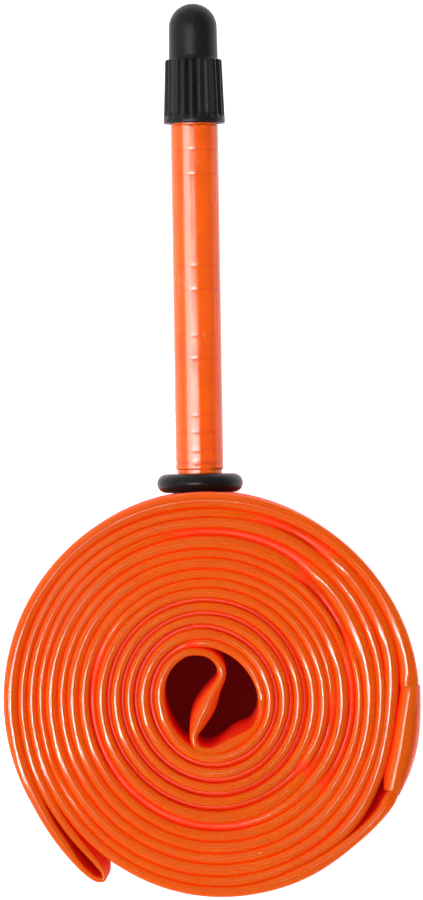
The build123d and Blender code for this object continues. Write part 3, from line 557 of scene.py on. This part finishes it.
def sections(st):
    """Ring points of every station.  st rows: x, y, left, right bead, left, right
    body, left, right cap height, top, bottom, left, right bulge."""
    n = len(st)
    nxt = np.roll(st[:, :2], -1, 0) - np.roll(st[:, :2], 1, 0)
    t = nxt / np.linalg.norm(nxt, axis=1)[:, None]
    normal = np.stack([-t[:, 1], t[:, 0]], -1)          # to the left of travel
    zt, zb = st[:, 8], st[:, 9]
    neck = 0.95

    def side(w, b, h, bul, sign):
        off, z = [], []
        for a in np.radians(np.linspace(90, 0, 9))[(0 if sign < 0 else 1):]:
            off.append(w * math.cos(a) ** 0.92)
            z.append(zt - h * (1 - math.sin(a)))
        for s in (0.30, 0.65, 1.0):
            e = s * s * (3 - 2 * s)
            off.append(w + (b - w) * e)
            z.append(zt - h - neck * s)
        top1, bot1 = zt - h - neck, zb + h + neck
        for s in np.linspace(0, 1, 12)[1:-1]:
            off.append(b + bul * math.sin(math.pi * s))
            z.append(top1 + (bot1 - top1) * s)
        for s in (1.0, 0.65, 0.30):
            e = s * s * (3 - 2 * s)
            off.append(w + (b - w) * e)
            z.append(zb + h + neck * s)
        for a in np.radians(np.linspace(0, 90, 9))[: (9 if sign < 0 else 8)]:
            off.append(w * math.cos(a) ** 0.92 if a < 1.57 else w * 0)
            z.append(zb + h * (1 - math.sin(a)))
        return np.array(off).T * sign, np.array(z).T

    oR, zR = side(st[:, 3], st[:, 5], st[:, 7], st[:, 11], -1)
    oL, zL = side(st[:, 2], st[:, 4], st[:, 6], st[:, 10], 1)
    off = np.concatenate([oR, oL[:, ::-1]], 1)
    z = np.concatenate([zR, zL[:, ::-1]], 1)
    xy = st[:, None, :2] + normal[:, None, :] * off[:, :, None]
    return np.concatenate([xy, z[:, :, None]], 2), off


def cap_height(w):
    return np.clip(0.86 * w, 0.3, 1.6)


def rows_of(xy, wl, wr, bl, br, top, bottom, bul_l=0.0, bul_r=0.0, hl=None, hr=None):
    n = len(xy)
    full = lambda v: np.broadcast_to(np.asarray(v, float), (n,))
    hl = cap_height(full(wl)) if hl is None else full(hl)
    hr = cap_height(full(wr)) if hr is None else full(hr)
    return np.stack([xy[:, 0], xy[:, 1], full(wl), full(wr), full(bl), full(br), hl, hr,
                     full(top), full(bottom), full(bul_l), full(bul_r)], -1)


SHIFT = np.array([0.08, -0.19])                   # the coil sits a little off its axis
DEPTH = 1.45                                     # how far a sunk strand lies below the rest
FLOOR_GAP = TOP - WIDTH


def heights(phi, sunk, seed):
    wave = 0.5 + 0.5 * np.sin(np.radians(phi * 0.83 + 40 * seed))
    wave2 = 0.5 + 0.5 * np.sin(np.radians(phi * 2.17 + 95 * seed))
    drop = 0.10 * wave + 0.05 * wave2
    top = TOP - 0.02 - drop - DEPTH * smooth(sunk)
    return top, np.maximum(top - WIDTH, 0.01)


phiA, cA, roA, riA, boA, biA, sunkA = strand_stations((BEAD_OUT_A, BEAD_IN_A, BODY_OUT_A, BODY_IN_A, SUNK_A), 3255.0)
phiB, cB, roB, riB, boB, biB, sunkB = strand_stations((BEAD_OUT_B, BEAD_IN_B, BODY_OUT_B, BODY_IN_B, SUNK_B), 3120.0)

# inside the lap weld the strand is a little slimmer than the sleeve round it
theta_first = phiA - 360.0
inside = smooth((theta_first + 5.0) / 2.0) * smooth((30.5 - theta_first) / 3.0)
inside = np.where(phiA < 400, inside, 0.0)
roA, boA = roA - 0.18 * inside, boA - 0.18 * inside
riA, biA = riA + 0.24 * inside, biA + 0.24 * inside
cA = (roA + riA) / 2
topA, botA = heights(phiA, sunkA, 0)
topB, botB = heights(phiB, sunkB, 1)
topA = topA - 0.22 * inside

slim = 0.985                                      # under the bead the strand is thinner
waist = np.where(phiA < 510, 0.22, 0.0)
# beside the weld, and next to the tail's fold, the turns stand apart and swell
# towards each other below the beads


def swell(phi):
    return 0.46 * np.exp(-(((phi - 393.0) / 12.0) ** 2)) + 0.12 * np.exp(-(((phi - 362.0) / 12.0) ** 2))


A = rows_of(place(phiA, cA), roA - cA, cA - riA, (boA - cA) * slim - waist * (0.6 + 1.3 * np.exp(-(((phiA - 250.0) / 40.0) ** 2))), (cA - biA) * slim, topA, botA, bul_r=swell(phiA) + 0.35 * np.exp(-(((phiA - 150.0) / 14.0) ** 2)))
B = rows_of(place(phiB, cB), cB - riB, roB - cB, (cB - biB) * slim, (boB - cB) * slim, topB, botB, bul_r=swell(phiB) + 0.35 * np.exp(-(((phiB - 150.0) / 14.0) ** 2)),
            bul_l=0.55 * np.exp(-(((phiB - 150.0) / 12.0) ** 2)))[::-1]

ends_a = [tuple(A[-9, :4]), tuple(A[-5, :4]), tuple(A[-1, :4])]
ends_b = [tuple(B[0, :4]), tuple(B[4, :4]), tuple(B[8, :4])]
eye = cord_points(EYE, ends_a, ends_b, 0.22)
s = np.linspace(0, 1, len(eye))
hump = np.exp(-(((s - 0.60) / 0.13) ** 2))
curl = np.exp(-(((s - 0.14) / 0.11) ** 2))
topE = np.interp(s, [0, 0.12, 0.4, 0.8, 1], [topA[-1], 29.75, 29.80, 29.70, topB[-1]])
eye_rows = rows_of(eye[:, :2], eye[:, 2], eye[:, 3], eye[:, 2] * 0.96, eye[:, 3] * 0.96, topE, np.maximum(topE - WIDTH, 0.01),
                   bul_l=0.25 * hump + 0.10 * curl, bul_r=0.15 * hump + 0.85 * curl,
                   hl=np.clip(1.0 * eye[:, 2] + 0.9 * hump, 0.3, 2.4), hr=np.clip(1.0 * eye[:, 3] + 0.9 * hump, 0.3, 2.4))

tail_b = [tuple(B[-9, :4]), tuple(B[-5, :4]), tuple(B[-1, :4])]
tail_a = [tuple(A[0, :4]), tuple(A[4, :4]), tuple(A[8, :4])]
fold = cord_points(FOLD, tail_b, tail_a, 0.22)
s = np.linspace(0, 1, len(fold))
topF = np.interp(s, [0, 0.35, 0.65, 1], [topB[0], 29.80, 29.86, topA[0]])
fold_rows = rows_of(fold[:, :2], fold[:, 2], fold[:, 3], fold[:, 2] * 0.9, fold[:, 3] * 0.9, topF, np.maximum(topF - WIDTH, 0.01),
                    bul_r=0.80 * np.sin(math.pi * np.clip(s, 0, 1)) ** 0.5, bul_l=0.55 * np.exp(-(((s - 0.25) / 0.25) ** 2)))

stations = np.concatenate([A, eye_rows, B, fold_rows])
stations[:, 0] += SHIFT[0]
stations[:, 1] += SHIFT[1]
ring, off = sections(stations)
n_a, m = len(A), ring.shape[1]

# the film is pulled flat on the root flange round the valve, whose rim shows
outer = (off > 0.05) & (np.arange(len(stations))[:, None] < 140)
dist = np.hypot(ring[:, :, 0] - STEM_X, ring[:, :, 2] - 15.0)
seat = outer & (ring[:, :, 1] > 20) & (dist < 12)
w = 1 - smooth((dist - 6.6) / 3.6)
flat = 24.57 + 0.10 * np.exp(-(((dist - 7.4) / 0.7) ** 2))
ring[:, :, 1] = np.where(seat, ring[:, :, 1] * (1 - w) + np.minimum(ring[:, :, 1], flat) * w, ring[:, :, 1])
make("tube_rolled", ring.reshape(-1, 3), grid_faces(len(stations), m, True, True), ORANGE, "tube", "tube_film", "tube_body")

# --------------------------------------------------------------- the lap weld
lap = np.array(LAP)
th = np.concatenate([[-3.5, -3.38], np.arange(-2.5, 27.0, 1.0), [27.0, 27.38, 27.5]])
crest, inner, outr = (spline(lap[:, 0], lap[:, i], th) for i in (1, 2, 3))
edge = np.minimum(smooth((th + 3.5) / 0.6 + 0.35), smooth((27.5 - th) / 1.6 + 0.3))


def lap_ring(shrink):
    xy = place(th, crest) + SHIFT
    wl, wr = outr - crest - shrink, crest - inner - shrink
    top = TOP - 0.06 - shrink - 0.10 * (1 - edge) + 0 * th
    r = rows_of(xy, wl, wr, wl - 0.10, wr - 0.12, top, np.maximum(TOP - WIDTH - 0.3 + shrink, 0.01) + 0 * th,
                hl=np.clip(1.7 * wl, 0.5, 3.2), hr=np.clip(1.15 * wr, 0.5, 1.6), bul_l=0.0)
    ends = np.concatenate([[place(th[0] - 1, crest[0]) + SHIFT], xy, [place(th[-1] + 1, crest[-1]) + SHIFT]])
    pts, _ = sections(np.concatenate([[np.concatenate([ends[0], r[0, 2:]])], r, [np.concatenate([ends[-1], r[-1, 2:]])]]))
    return pts[1:-1]


skin = lap_ring(0.0)
lining = lap_ring(0.20)
nn, mm = skin.shape[:2]
pts = np.concatenate([skin.reshape(-1, 3), lining.reshape(-1, 3)])
faces = grid_faces(nn, mm, False, True)
faces += [tuple(nn * mm + k for k in reversed(f)) for f in grid_faces(nn, mm, False, True)]
for j in range(mm):
    k = (j + 1) % mm
    faces.append((j, k, nn * mm + k, nn * mm + j))
    b = (nn - 1) * mm
    faces.append((b + k, b + j, nn * mm + b + j, nn * mm + b + k))
weld = make("lap_weld", pts, faces, WELD, "tube", "tube_film", "splice_sleeve")

# ------------------------------------------------------------- the valve's stem
FL_IN, FL_OUT = 23.80, 24.35


def stem_rings(r, y, a):
    keep = (r > 2.9) & (y > 28.3) & (y < 71.4)
    d = np.zeros_like(y)
    for y0, half, depth in STEM_RINGS:
        d += (0.020 + 0.03 * depth) * np.exp(-(((y - y0) / (half * 0.7)) ** 2))
    d += 0.010 * np.sin(y * 0.9) * np.sin(2 * a + y * 0.11)
    r = np.where(keep, r - np.abs(d), r)
    # the root flange follows the roll's curve
    x = r * np.cos(a)
    rim = y < 24.5
    return r, np.where(rim & (r > 3.7), np.sqrt(np.maximum((y + 0.0) ** 2 - (STEM_X + x) ** 2, 1.0)), y)


stem_profile = [
    (1.60, 23.82), (7.30, 23.80), (7.48, 23.92), (7.50, 24.08), (7.48, 24.22), (7.30, 24.35),
    (4.15, 24.35), (3.78, 24.43), (3.62, 24.70), (3.60, 25.02), (3.52, 25.13), (3.40, 25.17),
    (2.86, 25.18), (2.80, 25.26), (2.80, 28.10), (2.90, 28.17), (2.98, 28.22), (3.0, 28.32),
    (3.0, 71.50), (2.95, 71.56), (2.80, 71.60), (2.80, 73.70), (2.72, 73.77), (2.44, 73.77),
    (2.44, 66.50), (2.05, 66.47), (2.05, 63.60), (1.60, 63.57),
]


def stem_shape(r, y, a):
    d = np.zeros_like(y)
    for y0, half, depth in STEM_RINGS:
        d += (0.020 + 0.03 * depth) * np.exp(-(((y - y0) / (half * 0.7)) ** 2))
    d += 0.008 * (1 + np.sin(y * 0.9) * np.sin(2 * a + y * 0.11))
    r = np.where((r > 2.9) & (y > 28.4) & (y < 71.4), r - d, r)
    x = STEM_X + r * np.cos(a)
    rim = (y < 24.4) & (r > 1.5)
    return r, np.where(rim, np.sqrt(np.maximum(y**2 - x**2, 1.0)), y)


turned("stem_moulded", dense(stem_profile, 0.16), 96, STEM, "tube", "stem_plastic", "valve_stem", mod=stem_shape, sharp=50)

# the rubber ring: a moulded section with a faint parting line round its middle
ring_profile = []
for i in range(40):
    t = 2 * math.pi * i / 40
    rr = 1.19 + 0.012 * math.exp(-((math.degrees(t)) / 7.0) ** 2) + 0.012 * math.exp(-((math.degrees(t) - 360) / 7.0) ** 2)
    ring_profile.append((4.22 + rr * math.cos(t) * 0.997, 26.41 + rr * math.sin(t)))
turned("ring_rubber", ring_profile, 120, RING, "ring", "ring_rubber", "o_ring",
       mod=lambda r, y, a: (r + 0.012 * np.sin(3 * a + 0.4), y + 0.015 * np.sin(2 * a)))


# --------------------------------------------------------------------- the cap
def cap_shape(r, y, a):
    """Twenty rounded ribs down the skirt, running out above the collar."""
    outside = (r > 3.40) & (y > 72.3) & (y < 79.80)
    fade = smooth((y - 72.42) / 0.55) * smooth((79.86 - y) / 0.16)
    wave = 0.5 - 0.5 * np.cos(20 * (a + math.pi / 40))
    cut = 0.34 * (1 - wave ** 0.55)
    return np.where(outside, r - cut * fade, r), y


dome = [(3.03 * math.cos(math.radians(t)), 83.94 + 3.03 * math.sin(math.radians(t))) for t in (0, 8, 16, 24, 32, 40, 48, 56, 64, 72, 80, 86, 90)]
dome[-1] = (0.0, 83.94 + 3.03)
hollow = [(2.25 * math.cos(math.radians(t)), 83.94 + 2.25 * math.sin(math.radians(t))) for t in (90, 75, 60, 45, 30, 15, 0)]
hollow[0] = (0.0, 83.94 + 2.25)
outer_wall = [(3.20, 71.79), (3.76, 71.79), (3.84, 71.83), (3.88, 71.92), (3.875, 72.30), (3.85, 72.60)]
skirt = [(3.85 - 0.255 * k / 34, 72.60 + 7.02 * k / 34) for k in range(1, 35)]
skirt += [(3.585, 79.70), (3.54, 79.80), (3.44, 79.86), (3.26, 79.88), (3.16, 79.90), (3.10, 79.97)]
skirt += [(3.09 - 0.06 * k / 8, 79.97 + 3.97 * k / 8) for k in range(1, 8)]
thread = []
yy = 79.17
inner_wall = [(2.25, 79.17)]
steps = 60
for k in range(steps + 1):
    inner_wall.append((2.66, 79.10 - (79.10 - 75.65) * k / steps))
inner_wall += [(2.72, 75.57), (3.10, 75.57), (3.15, 75.50), (3.15, 72.0), (3.20, 71.79)]


def cap_all(r, y, a):
    r, y = cap_shape(r, y, a)
    inside = (r > 2.6) & (r < 2.7) & (y > 75.6) & (y < 79.2)
    fade = smooth((y - 75.7) / 0.35) * smooth((79.1 - y) / 0.35)
    tri = np.abs(((y / 0.75 - a / (2 * math.pi)) % 1.0) * 2 - 1)
    return np.where(inside, r + 0.14 * (tri - 0.1) * fade, r), y


turned("cap_ribbed", outer_wall + skirt + dome + hollow + inner_wall[:-1], 400, CAP, "cap", "cap_plastic", "dust_cap", mod=cap_all, sharp=60)


# ------------------------------------------------------- the core and its parts
def helix(lo, hi, y0, y1, pitch, depth, fade_len=0.3):
    def shape(r, y, a):
        on = (r > lo) & (r < hi) & (y > y0) & (y < y1)
        fade = smooth((y - y0) / fade_len) * smooth((y1 - y) / fade_len)
        tri = np.abs(((y / pitch - a / (2 * math.pi)) % 1.0) * 2 - 1)
        return np.where(on, r - depth * (1 - tri) * fade, r), y
    return shape


def both(*shapes):
    def shape(r, y, a):
        for s in shapes:
            r, y = s(r, y, a)
        return r, y
    return shape


def flats(r, y, a):
    """Two wrench flats across the core between its threads."""
    half = 1.95
    z = np.abs(r * np.sin(a))
    on = (y > 74.22) & (y < 75.95) & (r > 2.0) & (z > half)
    return np.where(on, half / np.maximum(np.abs(np.sin(a)), 0.2), r), y


core_profile = [
    (0.80, 61.60), (0.86, 61.57), (1.30, 61.57), (1.40, 61.87), (1.40, 66.37), (1.85, 66.87), (2.15, 67.37),
    (2.15, 74.10), (2.20, 74.19), (2.42, 74.19), (2.42, 75.95), (2.45, 75.99), (2.58, 75.99), (2.60, 76.06),
    (2.60, 78.72), (2.35, 78.97), (1.22, 78.97), (1.10, 78.88), (1.10, 66.70), (0.80, 66.20),
]
core = turned("core_threaded", dense(core_profile, 0.085), 96, BRASS, "valve_core", "brass", "core_body",
              mod=both(flats, helix(2.1, 2.2, 67.5, 74.0, 0.75, 0.16), helix(2.55, 2.62, 76.1, 78.8, 0.62, 0.22)), sharp=40)
insert_profile = [
    (2.18, 66.50), (2.40, 66.47), (2.43, 66.55), (2.43, 73.70), (2.44, 73.78), (2.64, 73.78), (2.70, 73.84),
    (2.70, 74.07), (2.62, 74.16), (2.30, 74.16), (2.19, 74.05),
]
turned("insert_threaded", dense(insert_profile, 0.11), 72, BRASS, "tube", "brass", "stem_insert",
       mod=lambda r, y, a: (np.where((r < 2.2) & (y > 67) & (y < 73.9),
                                     r + 0.14 * np.abs(((y / 0.75 - a / (2 * math.pi)) % 1.0) * 2 - 1) * smooth((y - 67) / 0.4) * smooth((73.9 - y) / 0.4), r), y))
pin_profile = [
    (0.0, 59.27), (0.80, 59.27), (0.97, 59.36), (1.0, 59.46), (1.0, 59.70), (0.95, 59.77), (0.70, 59.77),
    (0.70, 68.30), (1.0, 68.60), (1.0, 85.32), (0.93, 85.47), (0.75, 85.57), (0.0, 85.57),
]
turned("pin_threaded", dense(pin_profile, 0.09), 48, BRASS, "pin", "brass", "core_pin",
       mod=helix(0.98, 1.01, 79.3, 85.2, 0.45, 0.13), sharp=40)
cup_profile = [(0.72, 59.79), (1.12, 59.79), (1.25, 59.84), (1.29, 59.95), (1.29, 60.48), (1.26, 60.55), (1.16, 60.56), (0.72, 60.56)]
turned("seal_cup_turned", dense(cup_profile, 0.12), 48, BRASS, "pin", "brass", "seal_cup")
seal_profile = [(0.72, 60.58), (1.25, 60.58), (1.33, 60.66), (1.34, 60.90), (1.33, 61.25), (1.26, 61.42), (1.12, 61.52), (0.72, 61.53)]
turned("seal_moulded", dense(seal_profile, 0.1), 48, RUBBER, "pin", "ring_rubber", "pin_seal")
gasket_profile = [(1.44, 64.20), (1.70, 64.18), (1.82, 64.26), (1.97, 64.55), (1.99, 64.80), (1.985, 65.30), (1.99, 65.70), (1.92, 65.88), (1.76, 65.95), (1.44, 65.95)]
turned("gasket_moulded", dense(gasket_profile, 0.12), 48, RUBBER, "core_seal", "ring_rubber", "core_gasket")


def knurl(r, y, a):
    on = (r > 1.6) & (y > 81.9) & (y < 84.42)
    fade = smooth((r - 1.55) / 0.3)
    wave = np.abs(((18 * a / (2 * math.pi)) % 1.0) * 2 - 1)
    groove = smooth((wave - 0.52) / 0.40)
    return np.where(on, r - 0.15 * groove * fade, r), y


nut_profile = [
    (1.07, 81.95), (1.20, 81.87), (1.70, 81.87), (1.86, 81.96), (1.99, 82.17), (2.0, 82.30), (2.0, 83.98), (1.97, 84.10),
    (1.80, 84.28), (1.52, 84.46), (1.40, 84.47), (1.18, 84.47), (1.07, 84.38),
]
turned("nut_knurled", dense(nut_profile, 0.13), 216, NICKEL, "nut", "nickel", "lock_nut", mod=knurl, sharp=40)

# ------------------------------------------------------------ floor, light, view
me = bpy.data.meshes.new("floor")
me.from_pydata([(-2.5, -2.5, 0), (2.5, -2.5, 0), (2.5, 2.5, 0), (-2.5, 2.5, 0)], [], [(0, 1, 2, 3)])
floor = bpy.data.objects.new("floor", me)
bpy.context.scene.collection.objects.link(floor)
fm = bpy.data.materials.new("floor_white_painted_dark_under_roll")
fm.use_nodes = True
fb = fm.node_tree.nodes["Principled BSDF"]
fb.inputs["Roughness"].default_value = 0.9
fb.inputs["Specular IOR Level"].default_value = 0.1
ft = fm.node_tree
# painted shade: within about 24 mm of the roll's axis the floor is painted dark maroon and glows only a faint
# maroon, standing in for the deep shade seen down the roll's hole; outside it is an evenly bright white floor
f_pos = ft.nodes.new("ShaderNodeTexCoord")
f_dist = ft.nodes.new("ShaderNodeVectorMath")
f_dist.operation = "DISTANCE"
f_dist.inputs[1].default_value = (CX / 1000, CY / 1000, 0.0)
ft.links.new(f_pos.outputs["Object"], f_dist.inputs[0])
painted_hole_shade_mask = ft.nodes.new("ShaderNodeMapRange")
painted_hole_shade_mask.inputs["From Min"].default_value = 0.0240
painted_hole_shade_mask.inputs["From Max"].default_value = 0.0252
ft.links.new(f_dist.outputs["Value"], painted_hole_shade_mask.inputs["Value"])
floor_painted_hole_shade = ramp(ft, painted_hole_shade_mask.outputs["Result"], [(0.0, (0.13, 0.004, 0.005)), (1.0, (0.90, 0.90, 0.90))])
ft.links.new(floor_painted_hole_shade.outputs["Color"], fb.inputs["Base Color"])
floor_glow_and_painted_hole_glow = ramp(ft, painted_hole_shade_mask.outputs["Result"], [(0.0, (0.052, 0.0008, 0.001)), (1.0, (0.78, 0.79, 0.80))])
ft.links.new(floor_glow_and_painted_hole_glow.outputs["Color"], fb.inputs["Emission Color"])
fb.inputs["Emission Strength"].default_value = 1.0
me.materials.append(fm)


def area(name, where, aim, size_x, size_y, power, colour=(1, 1, 1)):
    d = bpy.data.lights.new(name, "AREA")
    d.shape = "RECTANGLE"
    d.size, d.size_y = size_x, size_y
    d.energy = power
    d.color = colour
    o = bpy.data.objects.new(name, d)
    bpy.context.scene.collection.objects.link(o)
    from mathutils import Vector
    o.location = where
    direction = Vector(aim) - Vector(where)
    o.rotation_euler = direction.to_track_quat("-Z", "Y").to_euler()
    return o


mid = (CX / 1000, CY / 1000, 0.03)
KEY_POWER = 5.0
area("key", (mid[0] - 0.42, mid[1] - 0.04, 1.16), mid, 0.12, 0.50, KEY_POWER)
# a long strip light seen only as its reflection: the thin lines along the beads
strip = area("strip", (mid[0] - 0.44, mid[1] - 0.19, 1.16), mid, 0.055, 1.00, 15.0)
strip.visible_diffuse = False
strip.visible_transmission = False
strip.visible_volume_scatter = False
# a broad panel whose reflection is the pale band down the stem, lighting only the stem
tall = (mid[0], 0.018, 0.015)
panel = area("panel", (mid[0] - 0.80, 0.018, 0.90), tall, 1.0, 0.7, 27.0)
panel.visible_diffuse = False
panel.visible_transmission = False
panel.visible_volume_scatter = False
only = bpy.data.collections.new("stem_light")
only.objects.link(bpy.data.objects["stem_moulded"])
panel.light_linking.receiver_collection = only

world = bpy.data.worlds.new("studio")
bpy.context.scene.world = world
world.use_nodes = True
wt = world.node_tree
wt.nodes.clear()
wo = wt.nodes.new("ShaderNodeOutputWorld")
wb = wt.nodes.new("ShaderNodeBackground")
wt.links.new(wb.outputs["Background"], wo.inputs["Surface"])
wc = wt.nodes.new("ShaderNodeTexCoord")
ws = wt.nodes.new("ShaderNodeSeparateXYZ")
wt.links.new(wc.outputs["Generated"], ws.inputs["Vector"])
wr = wt.nodes.new("ShaderNodeValToRGB")
while len(wr.color_ramp.elements) < 4:
    wr.color_ramp.elements.new(0.5)
for e, (p, c) in zip(wr.color_ramp.elements, [(0.0, 0.80), (0.82, 0.80), (0.94, 0.06), (1.0, 0.03)]):
    e.position = p
    e.color = (c, c, c, 1)
wt.links.new(ws.outputs["Z"], wr.inputs["Fac"])
wx = wt.nodes.new("ShaderNodeMapRange")
wx.inputs["From Min"].default_value = -1.0
wx.inputs["From Max"].default_value = 1.0
wt.links.new(ws.outputs["X"], wx.inputs["Value"])
side = ramp(wt, wx.outputs["Result"], [(0.0, (1.15,)), (0.5, (1.0,)), (0.75, (0.52,)), (1.0, (0.34,))])
both = wt.nodes.new("ShaderNodeMix")
both.data_type = "RGBA"
both.blend_type = "MULTIPLY"
both.inputs["Factor"].default_value = 1.0
wt.links.new(wr.outputs["Color"], both.inputs["A"])
wt.links.new(side.outputs["Color"], both.inputs["B"])
wt.links.new(both.outputs["Result"], wb.inputs["Color"])
wb.inputs["Strength"].default_value = 1.0

cam = bpy.data.cameras.new("camera")
cam.lens = 239.8
cam.sensor_width = 36.0
cam.sensor_fit = "AUTO"
cam.clip_end = 20.0
co = bpy.data.objects.new("camera", cam)
bpy.context.scene.collection.objects.link(co)
co.location = ((CX + 0.547) / 1000, (CY + 30.56) / 1000, 0.772)
co.rotation_euler = (0, 0, math.radians(-CLOCK))
bpy.context.scene.camera = co
bpy.context.scene.view_settings.view_transform = "Standard"
bpy.context.scene.cycles.max_bounces = 16
bpy.context.scene.cycles.diffuse_bounces = 10
bpy.context.scene.cycles.glossy_bounces = 6
bpy.context.scene.cycles.use_denoising = True
